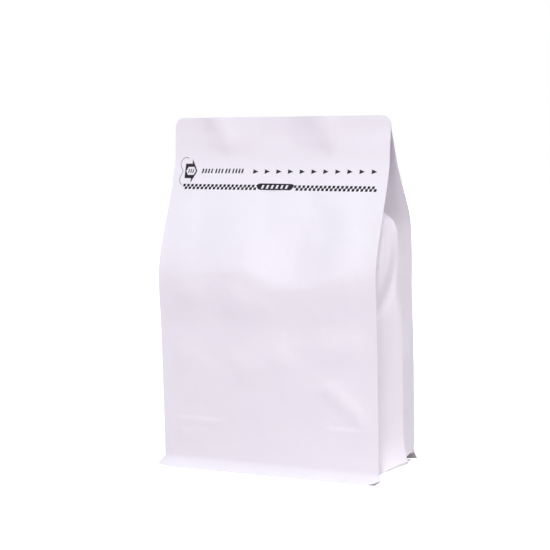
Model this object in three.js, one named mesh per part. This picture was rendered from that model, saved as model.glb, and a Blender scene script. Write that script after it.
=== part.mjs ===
// Flat-bottom coffee pouch, filled and sealed, as one closed solid.
// Millimetres, +Z up. The front panel faces -Y. The origin is the middle of the footprint,
// on the surface that the pouch stands on.
import * as THREE from "three";

// Outer size
const HEIGHT = 198;
const PANEL_WIDTH = 130;
const SEAL_BAND = 8; // flat top seal, front to back
const CORNER_RADIUS = 5.5; // top corners of the seal

// Corner fins: the front and back panels are sealed to the side folds along four thin edges
const FIN_WIDTH = 4;
const FIN_THICKNESS = 0.6;

// Side view of the front and back panels at their edges, as [z, y], from the top down
const FRONT_EDGE = [
  [198, -4.5],
  [190, -6],
  [184, -7.3],
  [168, -9.9],
  [140, -22.1],
  [121, -29.8],
  [110, -32.1],
  [80, -30.6],
  [6, -29.2],
];
const BACK_EDGE = [
  [198, -3.5],
  [190, -3.6],
  [183, -0.9],
  [170, 5.3],
  [150, 20.2],
  [139, 26.6],
  [122, 28.6],
  [99, 28.5],
  [67, 30.7],
  [30, 31.3],
  [6, 30.6],
];

// Pillow of the filled panels, over their edges
const FRONT_CROWN = 1.9;
const BACK_CROWN = 2.95;
const CROWN_FOOT = [6, 62]; // heights between which the pillow grows
const CROWN_HEAD = [96, 166]; // and between which it fades

// The shoulder runs across the front as a wave: [x, how far it lies over its mean height]
const SHOULDER_HEIGHT = 114;
const SHOULDER_REACH = 26;
const SHOULDER_WAVE = [
  [66, 3],
  [42, 1.5],
  [30, -4],
  [20, -7.5],
  [12, -6.5],
  [4, -4],
  [-4, -0.5],
  [-12, 2.5],
  [-24, 1.5],
  [-40, 0],
  [-66, 0],
];

// Over a scalloped line the header leans forward: [x, z], from the right to the left
const SCALLOPS = [
  [66, 190],
  [42, 186],
  [35.5, 183],
  [32, 177.2],
  [24, 179.5],
  [7, 184.6],
  [-10, 184],
  [-22, 180],
  [-31, 176.8],
  [-37, 179],
  [-50, 181.5],
  [-66, 182],
];
const HEADER_LEAN = 0.15;

// Soft flutes of the header and a fold across the lower right corner, as places [x, z]
const HEADER_FLUTES = [
  { start: [-38, 203], end: [-30.5, 178], width: 4.5, height: 0.55 },
  { start: [22, 203], end: [33, 179], width: 4.5, height: 0.7 },
];
const FLUTE_FOOT = [173, 181];
const CORNER_FOLDS = [{ start: [38, 49], end: [61, 31], width: 4.5, height: 0.55 }];

// Side folds (gussets): pushed out by the contents at the belly, folded in above it
const FOLD_DEPTH = 30; // half of a side fold, laid flat into the pouch
const CREASE_OUT = 70.8; // the middle crease of a side, at the belly
const CREASE_SHIFT = -6; // the crease lies to the front of the middle
const CREASE_WAIST = 1.5; // it stands back this far under the shelf
const CREASE_WAIST_FOOT = [84, 106];
const SHELF_HEIGHT = 147.4; // where the front half of a side turns in
const SHELF_START = 112; // below this its crease is upright
const SHELF_POWER = 4; // a high power makes a square shoulder
const BACK_FILL = [60, 124]; // heights over which the back half fills out under its fold
const OVERHANG = [0.82, 1]; // from here to the crease it returns to the front half's edge
const BACK_ROOT_OUT = 3; // the back half starts this far out on its fin
const BACK_ROOT_HEAD = [160, 188];
const FLARE_TOP = 25; // under this a side spreads outwards
const CREASE_FLARE = 3.2;
const FRONT_HALF_FLARE = 2.2;
const BACK_HALF_FLARE = 1.2;

// A lobe of film stands over a hooked valley in the front half of each side, under the shelf
const FRONT_HOLLOW = 0.6;
const HOLLOW_FOOT = [6, 40];
const LOBE_HEIGHT = 2.4;
const LOBE_BASE = 0.75; // share of its height that is left along the start of the hook
const LOBE_SLOPE = [-1, 10]; // the lobe grows from the hook over this distance
const LOBE_HEAD = [141, 147.4];
const HOOK_DEPTH = 1.3;
const HOOK_START_DEPTH = 0.1; // share of the depth at the start of the hook
const HOOK_NEAR = 4.5; // half width of the valley on the lobe's side
const HOOK_FAR = 2; // and on the other side
// [share of the way from fin to crease, height]
const HOOK_START = new THREE.Vector2(0.85, 136);
const HOOK_BEND = new THREE.Vector2(1.02, 101);
const HOOK_END = new THREE.Vector2(0.1, 92);
const HOOK_SAMPLES = 24;
const FREE_OF_FIN = [0, 0.36]; // shares of the way over which the lobe starts
const FREE_OF_CREASE = [0.88, 1]; // and over which it ends

// Crease across the front, where the block of contents ends above the bottom seal
const LOW_CREASE_HEIGHT = 30;
const LOW_CREASE_RIDGE = 0.5;
const LOW_CREASE_WIDTH = 3;

// Bottom: the front and back panels end in a skirt, and the bottom sheet sags between them
const HEM = 6; // top of the skirt
const SKIRT_FLARE = 3;
const SKIRT_THICKNESS = 0.8;
const SKIRT_END = 10; // the last stretch of a skirt, where its foot spreads, draws in and lifts
const FRONT_SKIRT_END = { spread: 0.8, drawIn: 1.4, lift: 2.6 };
const BACK_SKIRT_END = { spread: 1.3, drawIn: 0.6, lift: 0.8 };
const SHEET_AT_SKIRT = 4.5; // height of the bottom sheet along the skirt
const SHEET_AT_FRONT_FIN = 3; // and at the front corners
const SHEET_AT_BACK_FIN = 4.6; // and at the back corners
const SHEET_AT_SIDE = 8.8; // and under the middle crease of a side
const RIM_RISE = 0.8; // share of the way to the crease by which the side's rim is up
const SHEET_FLAT_X = 0.72; // share of the width that rests flat
const SHEET_FLAT_Y = 0.6; // share of the depth that rests flat

// Fineness of the surface
const PANEL_STEPS = 10; // centre line to fin
const SIDE_STEPS = 10; // fin to middle crease
const CORNER_STEPS = 4;
const FIN_POINTS = 3; // across the inner face of a fin: tip, middle and root
const ROW_SPANS = [
  [10, 24, 2],
  [24, 36, 4],
  [36, 96, 6],
  [96, 142, 10],
  [142, SHELF_HEIGHT, 5],
  [SHELF_HEIGHT, 168, 5],
  [168, HEIGHT - SEAL_BAND, 6],
];

const HALF_WIDTH = PANEL_WIDTH / 2;
const SEAL_LINE = HALF_WIDTH - FIN_WIDTH;
const FIN_MIDDLE = HALF_WIDTH - FIN_WIDTH / 2;
const SEAL_FOOT = HEIGHT - SEAL_BAND;

function smoothstep([from, to], value) {
  return THREE.MathUtils.smoothstep(value, from, to);
}

// Smooth curve through [place, value] points listed from the last place to the first.
function curveAt(points, place) {
  const last = points.length - 2;
  let i = points.findIndex(([first]) => first <= place) - 1;
  i = i < -1 ? last : THREE.MathUtils.clamp(i, 0, last);
  const slopeAt = (k) => {
    const [z0, y0] = points[Math.max(k - 1, 0)];
    const [z1, y1] = points[Math.min(k + 1, points.length - 1)];
    return (y1 - y0) / (z1 - z0);
  };
  const [zA, yA] = points[i];
  const [zB, yB] = points[i + 1];
  const span = zB - zA;
  const t = THREE.MathUtils.clamp((place - zA) / span, 0, 1);
  const rise = t * t * (3 - 2 * t);
  const leave = t * (1 - t) * (1 - t);
  const arrive = t * t * (1 - t);
  return yA + (yB - yA) * rise + span * (slopeAt(i) * leave - slopeAt(i + 1) * arrive);
}

// Pillow of a panel: none at the seal lines, most at the centre of the belly.
function crown(height, x, z) {
  const across = Math.max(1 - (x / SEAL_LINE) ** 2, 0);
  return height * across * smoothstep(CROWN_FOOT, z) * (1 - smoothstep(CROWN_HEAD, z));
}

// Height of soft folds, each a ridge round a straight line.
function foldRelief(folds, x, z) {
  let relief = 0;
  for (const fold of folds) {
    const start = new THREE.Vector2(...fold.start);
    const run = new THREE.Vector2(...fold.end).sub(start);
    const place = new THREE.Vector2(x, z).sub(start);
    const t = THREE.MathUtils.clamp(place.dot(run) / run.lengthSq(), 0, 1);
    const away = place.distanceTo(run.multiplyScalar(t));
    relief += fold.height * Math.exp(-((away / fold.width) ** 2));
  }
  return relief;
}

function headerRelief(x, z) {
  const lean = HEADER_LEAN * Math.max(z - curveAt(SCALLOPS, x), 0);
  return lean + foldRelief(HEADER_FLUTES, x, z) * smoothstep(FLUTE_FOOT, z);
}

function lowCrease(z) {
  return LOW_CREASE_RIDGE * Math.exp(-(((z - LOW_CREASE_HEIGHT) / LOW_CREASE_WIDTH) ** 2));
}

function frontY(x, z) {
  const near = Math.exp(-(((z - SHOULDER_HEIGHT) / SHOULDER_REACH) ** 2));
  const shifted = z - curveAt(SHOULDER_WAVE, x) * near;
  const freeOfFins = Math.max(1 - (x / SEAL_LINE) ** 2, 0);
  const ridges = lowCrease(z) * freeOfFins + foldRelief(CORNER_FOLDS, x, z) * Math.sqrt(freeOfFins);
  return curveAt(FRONT_EDGE, shifted) - crown(FRONT_CROWN, x, z) - ridges - headerRelief(x, z);
}

// How far the sides and the back follow the header forward, most where all is sealed together.
function headerShift(x, z) {
  return -smoothstep([SEAL_FOOT - SEAL_BAND, SEAL_FOOT], z) * headerRelief(x, z);
}

function backY(x, z) {
  return curveAt(BACK_EDGE, z) + crown(BACK_CROWN, x, z) + headerShift(x, z);
}

// Inner faces of the fins, where the side fold starts. They meet at the foot of the top seal.
function finInnerY(z) {
  const front = curveAt(FRONT_EDGE, z);
  const back = curveAt(BACK_EDGE, z);
  if (z >= SEAL_FOOT) return [(front + back) / 2, (front + back) / 2];
  return [front + FIN_THICKNESS, back - FIN_THICKNESS];
}

// The middle crease where the side is folded in between the two panels.
function foldedX(z) {
  const [front, back] = finInnerY(z);
  const gap = (back - front) / 2;
  return SEAL_LINE - Math.sqrt(FOLD_DEPTH ** 2 - Math.min(gap, FOLD_DEPTH) ** 2);
}

// Share of the sideways flare at a height, from the hem up.
function footFlare(z) {
  return THREE.MathUtils.clamp((FLARE_TOP - z) / (FLARE_TOP - HEM), 0, 1) ** 2;
}

// The middle crease as the front half has it: a square shoulder under the shelf, the inward
// fold over it.
function frontCreaseX(z) {
  if (z >= SHELF_HEIGHT) return foldedX(z);
  const shelfX = foldedX(SHELF_HEIGHT);
  const climb = Math.max((z - SHELF_START) / (SHELF_HEIGHT - SHELF_START), 0);
  const shoulder = (1 - climb ** SHELF_POWER) ** (1 / SHELF_POWER);
  const out = CREASE_OUT - CREASE_WAIST * smoothstep(CREASE_WAIST_FOOT, z);
  return shelfX + (out - shelfX) * shoulder + CREASE_FLARE * footFlare(z);
}

// Where the back half heads for: it stays folded in and fills out further down.
function backCreaseX(z) {
  const filled = (CREASE_OUT - SEAL_LINE) * (1 - smoothstep(BACK_FILL, z));
  return foldedX(z) + filled + CREASE_FLARE * footFlare(z);
}

const hook = new THREE.QuadraticBezierCurve(HOOK_START, HOOK_BEND, HOOK_END);
const hookPoints = hook.getPoints(HOOK_SAMPLES);

// Distance from the hook, above zero on the lobe's side, and the share of the way along it.
function fromHook(s, z) {
  const offsets = hookPoints.map((p) => new THREE.Vector2((s - p.x) * FOLD_DEPTH, z - p.y));
  const distances = offsets.map((offset) => offset.length());
  const nearest = distances.indexOf(Math.min(...distances));
  const share = nearest / HOOK_SAMPLES;
  const run = hook.getTangent(share);
  const turned = run.y * offsets[nearest].x - run.x * FOLD_DEPTH * offsets[nearest].y;
  return [distances[nearest] * Math.sign(turned), share];
}

// Height of the front half of a side over the straight line from fin to crease, at share s.
function frontRelief(s, z) {
  const head = 1 - smoothstep(LOBE_HEAD, z);
  const [away, share] = fromHook(s, z);
  const base = LOBE_BASE * (1 - share);
  const lobe = LOBE_HEIGHT * (base + (1 - base) * smoothstep(LOBE_SLOPE, away));
  const depth = HOOK_DEPTH * THREE.MathUtils.lerp(HOOK_START_DEPTH, 1, share);
  const valley = depth * Math.exp(-((away / (away > 0 ? HOOK_NEAR : HOOK_FAR)) ** 2));
  const held = smoothstep(FREE_OF_FIN, s) * (1 - smoothstep(FREE_OF_CREASE, s));
  const flare = FRONT_HALF_FLARE * footFlare(z) - FRONT_HOLLOW * smoothstep(HOLLOW_FOOT, z) * head;
  return flare * Math.sin(Math.PI * s) + (lobe - valley) * held * head;
}

function backRelief(s, z) {
  return BACK_HALF_FLARE * footFlare(z) * Math.sin(Math.PI * s);
}

// Where a half of a side leaves its fin.
function rootX(isFront, z) {
  return SEAL_LINE + (isFront ? 0 : BACK_ROOT_OUT * (1 - smoothstep(BACK_ROOT_HEAD, z)));
}

// One half of a side, from the fin (s = 0) to the middle crease (s = 1).
function sidePoint(isFront, s, z) {
  const [front, back] = finInnerY(z);
  const shift = CREASE_SHIFT * (1 - smoothstep([SHELF_HEIGHT, SEAL_FOOT], z));
  const over = isFront ? 1 : smoothstep(OVERHANG, s);
  const outX = THREE.MathUtils.lerp(backCreaseX(z), frontCreaseX(z), over);
  const fin = new THREE.Vector2(rootX(isFront, z), isFront ? front : back);
  const along = new THREE.Vector2(outX, (front + back) / 2 + shift).sub(fin);
  const outward = new THREE.Vector2(along.y, -along.x).multiplyScalar(Math.sign(along.y));
  const relief = isFront ? frontRelief(s, z) : backRelief(s, z);
  const point = fin.addScaledVector(along, s).addScaledVector(outward.normalize(), relief);
  return [point.x, point.y];
}

// Half width of the panels: full, but for the round corners of the top seal.
function halfWidthAt(z) {
  const up = Math.max(z - (HEIGHT - CORNER_RADIUS), 0);
  return HALF_WIDTH - CORNER_RADIUS + Math.sqrt(Math.max(CORNER_RADIUS ** 2 - up ** 2, 0));
}

// Places across the filled part of a panel, from seal line to seal line.
function bellyPlaces() {
  const places = [];
  for (let i = -PANEL_STEPS; i <= PANEL_STEPS; i++) places.push((SEAL_LINE * i) / PANEL_STEPS);
  return places;
}

// The same with both fins, from tip to tip.
function panelPlaces() {
  const fin = [HALF_WIDTH, FIN_MIDDLE];
  return [...fin.map((x) => -x), ...bellyPlaces(), ...fin.toReversed()];
}

// A growing surface: points, and faces that name them by number.
const positions = [];
const faces = [];

function addPoint(x, y, z) {
  positions.push(x, y, z);
  return positions.length / 3 - 1;
}

function addTriangle(a, b, c) {
  if (a !== b && b !== c && c !== a) faces.push(a, b, c);
}

// Joins two lines of points with the same count. The upper line is on the left of the lower.
function addStrip(lower, upper) {
  for (let i = 0; i + 1 < lower.length; i++) {
    addTriangle(lower[i], lower[i + 1], upper[i + 1]);
    addTriangle(lower[i], upper[i + 1], upper[i]);
  }
}

// Lines of one level, each from left to right or from front to back, as seen from above.
function panelLine(yAt, z) {
  const scale = halfWidthAt(z) / HALF_WIDTH;
  return panelPlaces().map((x) => addPoint(x * scale, yAt(x * scale, z), z));
}

// Height of the lower rim of a half, from the hem at the fin's tip (s = -1) to the crease.
function rimHeight(isFront, s) {
  const atFin = isFront ? SHEET_AT_FRONT_FIN : SHEET_AT_BACK_FIN;
  if (s < 0) return THREE.MathUtils.lerp(atFin, HEM, -s);
  return THREE.MathUtils.lerp(atFin, SHEET_AT_SIDE, Math.sin((Math.PI / 2) * Math.min(s / RIM_RISE, 1)));
}

// Half of a side with the inner face of its fin, from the fin's tip to the middle crease.
// heightAt gives the height of a point at share s, which runs from -1 at the tip to 0 at the
// root of the fin and on to 1 at the crease.
function sideHalf(sign, isFront, z, heightAt) {
  const finY = finInnerY(z)[isFront ? 0 : 1];
  const root = rootX(isFront, z);
  const fin = [1, 1 / 2].map((share) => {
    const x = THREE.MathUtils.lerp(root, HALF_WIDTH, share);
    return addPoint(sign * x, finY + headerShift(sign * x, z), heightAt(isFront, -share));
  });
  const fold = [];
  for (let i = 0; i <= SIDE_STEPS; i++) {
    const s = i / SIDE_STEPS;
    const [x, y] = sidePoint(isFront, s, z);
    fold.push(addPoint(sign * x, y + headerShift(sign * x, z), heightAt(isFront, s)));
  }
  return [...fin, ...fold];
}

// A whole side from the front fin's tip to the back fin's tip. At the foot of the top seal it
// is shut: the back half lies on the front half and shares its points.
function sideLine(sign, z, heightAt = () => z) {
  const [front, back] = finInnerY(z);
  const frontHalf = sideHalf(sign, true, z, heightAt);
  const backHalf = front === back ? frontHalf : sideHalf(sign, false, z, heightAt);
  return [...frontHalf, ...backHalf.slice(0, -1).reverse()];
}

function level(z) {
  return {
    front: panelLine(frontY, z),
    back: panelLine(backY, z),
    right: sideLine(1, z),
    left: sideLine(-1, z),
  };
}

// A level as one closed line: front, right side, back, left side.
function ringOf({ front, back, right, left }) {
  return [...front, ...right, ...back.toReversed(), ...left.toReversed(), front[0]];
}

function rowHeights() {
  const heights = [];
  for (const [from, to, count] of ROW_SPANS)
    for (let i = 0; i < count; i++) heights.push(from + ((to - from) * i) / count);
  return heights;
}

// The hem: the fins reach down to the skirt's top, the side to its own curved rim.
function hemLevel() {
  return {
    front: panelLine(frontY, HEM),
    back: panelLine(backY, HEM),
    right: sideLine(1, HEM, rimHeight),
    left: sideLine(-1, HEM, rimHeight),
  };
}

// One edge of a skirt's foot, this far out from the panel's edge.
function skirtFoot(edgeY, out, outward) {
  const { spread, drawIn, lift } = outward < 0 ? FRONT_SKIRT_END : BACK_SKIRT_END;
  return panelPlaces().map((x) => {
    const end = Math.max((Math.abs(x) - HALF_WIDTH + SKIRT_END) / SKIRT_END, 0) ** 2;
    const y = edgeY + outward * (out - drawIn * end);
    return addPoint(x + Math.sign(x) * spread * end, y, lift * end);
  });
}

// The skirt of one panel under the hem. An end is the inner face of its fin, from tip to root.
// Returns the line where the bottom sheet meets the skirt.
function addSkirt(hemLine, rightEnd, leftEnd, edgeY, outward) {
  const outer = skirtFoot(edgeY, SKIRT_FLARE, outward);
  const inner = skirtFoot(edgeY, SKIRT_FLARE - SKIRT_THICKNESS, outward);
  const atFin = outward < 0 ? SHEET_AT_FRONT_FIN : SHEET_AT_BACK_FIN;
  const innerY = edgeY - outward * FIN_THICKNESS;
  const sheetHeight = (x) => THREE.MathUtils.lerp(SHEET_AT_SKIRT, atFin, (x / SEAL_LINE) ** 4);
  const between = bellyPlaces().slice(1, -1);
  const sheetLine = between.map((x) => addPoint(x, innerY, sheetHeight(x)));
  const root = [...leftEnd, ...sheetLine, ...rightEnd.toReversed()];
  const strips = [
    [outer, hemLine],
    [inner, outer],
    [root, inner],
  ];
  for (const strip of strips) addStrip(...(outward < 0 ? strip : strip.toReversed()));
  for (const end of [0, hemLine.length - 1]) {
    const corner = [outer[end], inner[end], root[end], hemLine[end]];
    if ((end === 0) === (outward < 0)) corner.reverse();
    addTriangle(corner[0], corner[1], corner[2]);
    addTriangle(corner[0], corner[2], corner[3]);
  }
  return root.slice(FIN_POINTS - 1, 1 - FIN_POINTS);
}

// The bottom sheet: it sags from the skirts and the side rims to a flat middle.
function addBottomSheet(front, back, left, right) {
  const at = (i) => new THREE.Vector3().fromArray(positions, i * 3);
  const columns = front.length - 1;
  const rows = left.length - 1;
  const grid = [front];
  for (let j = 1; j < rows; j++) {
    const v = j / rows;
    const line = [left[j]];
    for (let i = 1; i < columns; i++) {
      const u = i / columns;
      const acrossDepth = at(front[i]).lerp(at(back[i]), v);
      const acrossWidth = at(left[j]).lerp(at(right[j]), u);
      const corners = at(front[0])
        .lerp(at(front[columns]), u)
        .lerp(at(back[0]).lerp(at(back[columns]), u), v);
      const p = acrossDepth.add(acrossWidth).sub(corners);
      const riseX = Math.max((Math.abs(2 * u - 1) - SHEET_FLAT_X) / (1 - SHEET_FLAT_X), 0);
      const riseY = Math.max((Math.abs(2 * v - 1) - SHEET_FLAT_Y) / (1 - SHEET_FLAT_Y), 0);
      line.push(addPoint(p.x, p.y, p.z * Math.max(riseX, riseY) ** 2));
    }
    line.push(right[j]);
    grid.push(line);
  }
  grid.push(back);
  for (let j = 0; j < rows; j++) addStrip(grid[j + 1], grid[j]);
}

function buildBody() {
  const hem = hemLevel();
  const levels = [hem, ...rowHeights().map(level), level(SEAL_FOOT)];
  for (let i = 0; i + 1 < levels.length; i++) addStrip(ringOf(levels[i]), ringOf(levels[i + 1]));
  addTopSeal(levels.at(-1));
  addBottom(hem);
}

// The top seal: one flat band over the closed side folds.
function addTopSeal(foot) {
  const bandRing = (front, back, right, left) => [
    ...front,
    right,
    ...back.toReversed(),
    left,
    front[0],
  ];
  let below = bandRing(foot.front, foot.back, foot.right[0], foot.left[0]);
  for (let i = 0; i <= CORNER_STEPS; i++) {
    const turn = ((Math.PI / 2) * i) / CORNER_STEPS;
    const z = HEIGHT - CORNER_RADIUS + CORNER_RADIUS * Math.sin(turn);
    const front = panelLine(frontY, z);
    const back = panelLine(backY, z);
    const above = bandRing(front, back, front.at(-1), back[0]);
    addStrip(below, above);
    if (i === CORNER_STEPS) addStrip(front, back);
    below = above;
  }
}

function addBottom(hem) {
  const frontEnds = [hem.right, hem.left].map((line) => line.slice(0, FIN_POINTS));
  const backEnds = [hem.right, hem.left].map((line) => line.toReversed().slice(0, FIN_POINTS));
  const frontSheet = addSkirt(hem.front, ...frontEnds, curveAt(FRONT_EDGE, HEM), -1);
  const backSheet = addSkirt(hem.back, ...backEnds, curveAt(BACK_EDGE, HEM), 1);
  const rim = (line) => line.slice(FIN_POINTS - 1, 1 - FIN_POINTS);
  addBottomSheet(frontSheet, backSheet, rim(hem.left), rim(hem.right));
}

buildBody();
const skin = new THREE.BufferGeometry();
skin.setAttribute("position", new THREE.Float32BufferAttribute(positions, 3));
skin.setIndex(faces);

const laminate = new THREE.MeshStandardMaterial({ color: 0xf2f0f6, roughness: 0.6, metalness: 0 });
const pouch = new THREE.Mesh(skin, laminate);
pouch.name = "pouch";

const model = new THREE.Group();
model.add(pouch);

export default model;
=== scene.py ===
import math
from collections import namedtuple

import bmesh
import bpy
import numpy as np
from mathutils import Matrix, Vector, geometry, noise


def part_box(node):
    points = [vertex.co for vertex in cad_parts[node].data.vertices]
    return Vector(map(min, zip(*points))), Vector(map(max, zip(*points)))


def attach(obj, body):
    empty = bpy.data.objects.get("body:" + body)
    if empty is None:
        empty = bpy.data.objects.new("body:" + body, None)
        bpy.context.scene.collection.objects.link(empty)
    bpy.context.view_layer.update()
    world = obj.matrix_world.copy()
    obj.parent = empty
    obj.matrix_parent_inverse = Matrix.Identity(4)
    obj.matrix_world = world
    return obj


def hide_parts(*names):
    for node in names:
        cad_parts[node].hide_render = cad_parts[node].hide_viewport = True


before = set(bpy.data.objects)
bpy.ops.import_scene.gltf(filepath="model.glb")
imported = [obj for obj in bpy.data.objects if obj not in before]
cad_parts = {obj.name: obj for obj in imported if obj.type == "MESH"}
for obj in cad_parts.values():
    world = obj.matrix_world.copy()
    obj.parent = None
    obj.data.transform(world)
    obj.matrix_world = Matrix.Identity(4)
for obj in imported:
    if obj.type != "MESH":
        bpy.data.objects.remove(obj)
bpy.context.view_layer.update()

MM = 0.001
TINY = 1e-6

# A soft fold from one (x, z) place on a panel to another. Its height stands out of the panel,
# and a valley's height is below zero.
Fold = namedtuple("Fold", "start end width height")
# A sharp little ledge where the film is folded over the block of contents. It runs level at its
# height from left to right, and the film under it stands out by the step.
Ledge = namedtuple("Ledge", "left right height step")
# How far the lower edge of a skirt spreads to the side, draws in and lifts at one of its ends
SkirtEnd = namedtuple("SkirtEnd", "spread draw_in lift")
Skirt = namedtuple("Skirt", "outward left right")
# A side is two halves that meet at the middle crease. Each half is a little full or hollow, rolls
# in beside its fin and flares at the foot.
Side = namedtuple("Side", "sign front back")
Half = namedtuple("Half", "is_back pillow roll flare hook")
# A hooked valley in a half, under a lobe of film that runs down gently into it. Its line is drawn
# by three places, each (share of the way from fin to crease, height).
Hook = namedtuple("Hook", "lobe valley line")

# ---------------------------------------------------------------- size of the pouch

HEIGHT = float(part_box("pouch")[1][2]) / MM
HALF_WIDTH = 65.0
SEAL_BAND = 8.0
SEAL_FOOT = HEIGHT - SEAL_BAND
SEAL_FIRST_ROW = 1.2  # the surface has a row this far over the seal's foot
CORNER_RADIUS = 5.5
FIN_WIDTH = 4.0
FIN_THICKNESS = 0.5
SEAL_LINE = HALF_WIDTH - FIN_WIDTH
EDGE_HOLD = 0.85  # share of a fold's height that a seal line takes away
EDGE_HOLD_WIDTH = 9.0

# Side view of the front and back panels at their edges, as (z, y), from the top down
FRONT_EDGE = (
    (198, -4.5), (190, -6), (184, -7.3), (168, -9.9), (140, -22.1),
    (121, -29.8), (110, -32.1), (80, -30.6), (6, -29.2),
)
BACK_EDGE = (
    (198, -3.9), (190, -4.2), (183, -0.9), (170, 5.3), (150, 20.2), (139, 26.6),
    (122, 28.6), (99, 28.5), (67, 30.7), (30, 31.3), (6, 30.6),
)
# Pillow of the filled panels, over their edges
FRONT_CROWN = 1.9
BACK_CROWN = 2.95
CROWN_FOOT = (6, 62)  # heights between which the pillow grows
CROWN_HEAD = (96, 166)  # and between which it fades

# The shoulder runs across the front as a wavy line: how far it lies over its own mean height
SHOULDER_HEIGHT = 114.0
SHOULDER_REACH = 26.0
SHOULDER_WAVE = (
    (-66, 0), (-40, 0), (-24, 1.5), (-12, 2.5), (-4, -0.5), (4, -4), (12, -6.5),
    (20, -7.5), (30, -4), (42, 1.5), (54, 1.5), (66, 3),
)

# Side folds
FOLD_DEPTH = 30.0  # width of the film in one half of a side
CREASE_OUT = 70.8  # the middle crease of a filled side stands out to here
CREASE_SHIFT = -6.0  # and lies this far in front of the middle between its fins
CREASE_WAIST = 1.5  # the crease stands back this far under the shelf
CREASE_WAIST_FOOT = (84, 106)
SHELF_HEIGHT = 147.4  # where the front half of a side turns in
SHELF_START = 112.0
SHELF_POWER = 4
BACK_FILL = (60, 124)  # heights over which the back half fills out under its fold
OVERHANG = (0.82, 1.0)  # from here to the crease it returns to the front half's edge
FLARE_TOP = 25.0  # under this the side spreads outwards
CREASE_FLARE = 3.2
BACK_ROOT_OUT = 3.8  # the back half of a side starts this far out on its fin
BACK_ROOT_HEAD = (160, 188)
PILLOW_FOOT = (6, 40)  # heights over which the relief of a side grows
PILLOW_HEAD = (141, 147.4)  # and over which it ends under the shelf

# Bottom
HEM = 6.0  # height at which the panels turn out into the skirt
SKIRT_FLARE = 3.0
SKIRT_BULGE = 0.6
SKIRT_THICKNESS = 0.5
SKIRT_END = 10.0  # the last stretch of a skirt, where its lower edge lifts and draws in
FRONT_SKIRT = Skirt(-1, left=SkirtEnd(4.4, 0.6, 1.0), right=SkirtEnd(0.8, 1.4, 2.6))
BACK_SKIRT = Skirt(1, left=SkirtEnd(1.3, 0.6, 0.8), right=SkirtEnd(1.3, 0.6, 0.8))
SHEET_AT_SKIRT = 4.5
SHEET_AT_FIN = 3.0
SHEET_DIP_POWER = 4  # the sheet keeps its height along a skirt and dips close to the fins
RIM_AT_BACK_FIN = 4.6
SHEET_AT_SIDE = 8.8
RIM_RISE = 0.8  # share of the way to the crease by which the rim is up
SHEET_FLAT_X = 0.72
SHEET_FLAT_Y = 0.6

# ---------------------------------------------------------------- folds and dents in the film

# Over a scalloped line, (x, z), the header leans forward
SCALLOPS = (
    (-66, 182), (-50, 181.5), (-43, 180.5), (-37, 179), (-31, 176.8), (-22, 180), (-10, 184),
    (-1, 184.8), (7, 184.6), (13, 181.5), (24, 179.5), (32, 177.2), (35.5, 183), (42, 186),
    (54, 188), (66, 190),
)
SCALLOP_LEAN = 0.15
SCALLOP_ROUND = 0.8
HEADER_FOLLOWS = (176, 190)  # heights over which the back comes to follow the header
# Flutes that hang from the top edge and run out at their lower tips
HEADER_FLUTES = (
    Fold((-42, 203), (-30.5, 177), 6, 1.9),
    Fold((20, 203), (33, 178), 8, 2.1),
)
FRONT_FOLDS = (
    # puckers that hang from the stiff band of the header
    Fold((-43, 153), (-42, 132), 5.5, -0.4),
    Fold((-3.5, 155), (-2, 138), 5, -0.35),
    Fold((21, 154), (34, 137), 6, -0.5),
    Fold((43, 151), (50, 130), 7, 0.45),
    Fold((-23, 150), (-20, 138), 8, 0.25),
    # swells of the belly
    Fold((-16, 97), (-10, 95), 9, 0.9),
    Fold((20, 108), (36, 109), 6, 0.35),
    Fold((-50, 101), (-42, 100), 8, 0.6),
    Fold((-10, 60), (8, 66), 9, 0.9),
    Fold((36, 72), (48, 76), 9, 0.7),
    Fold((-52, 70), (-50, 66), 8, 0.55),
    # fold across the lower right corner
    Fold((38, 50), (61, 31), 5, 0.8),
)
BACK_FOLDS = (
    Fold((-38, 155), (-35, 134), 7, -0.5),
    Fold((-8, 157), (-4, 136), 8, -0.45),
    Fold((26, 156), (22, 132), 7, -0.5),
    Fold((12, 100), (20, 92), 10, 0.5),
    Fold((-30, 88), (-18, 80), 11, 0.45),
    Fold((34, 60), (22, 52), 10, 0.4),
    Fold((-45, 40), (-20, 36), 8, 0.35),
)
FOLDS_FOOT = (HEM, HEM + 14)  # folds grow from the hem up
FRONT_FOLDS_HEAD = (156, 162)  # and fade under the header
BACK_FOLDS_HEAD = (156, 172)

FRONT_LEDGES = (
    Ledge(-59, -24, 29.3, 0.3),
    Ledge(-24, -5, 30, 0.14),
    Ledge(-58, -33, 23, 0.16),
    Ledge(32, 66, 29.4, 0.34),
)
BACK_LEDGES = (
    Ledge(-60, -30, 30.5, 0.25),
    Ledge(-6, 58, 29.5, 0.28),
)
LEDGE_SHARPNESS = 0.7
LEDGE_FADE = 14.0
LEDGE_END = 6.0

# Faint unevenness of the film over the contents
BELLY_GRAIN = 0.2
BELLY_GRAIN_SIZE = 17.0
BELLY_GRAIN_LAYERS = 3
BELLY_GRAIN_FINER = 2.0  # each layer's marks are this many times smaller than the last one's
BELLY_GRAIN_FALL = 0.6  # and its height is less by this power of that
FRONT_GRAIN_SEED = 3.7
BACK_GRAIN_SEED = 9.1

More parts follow.
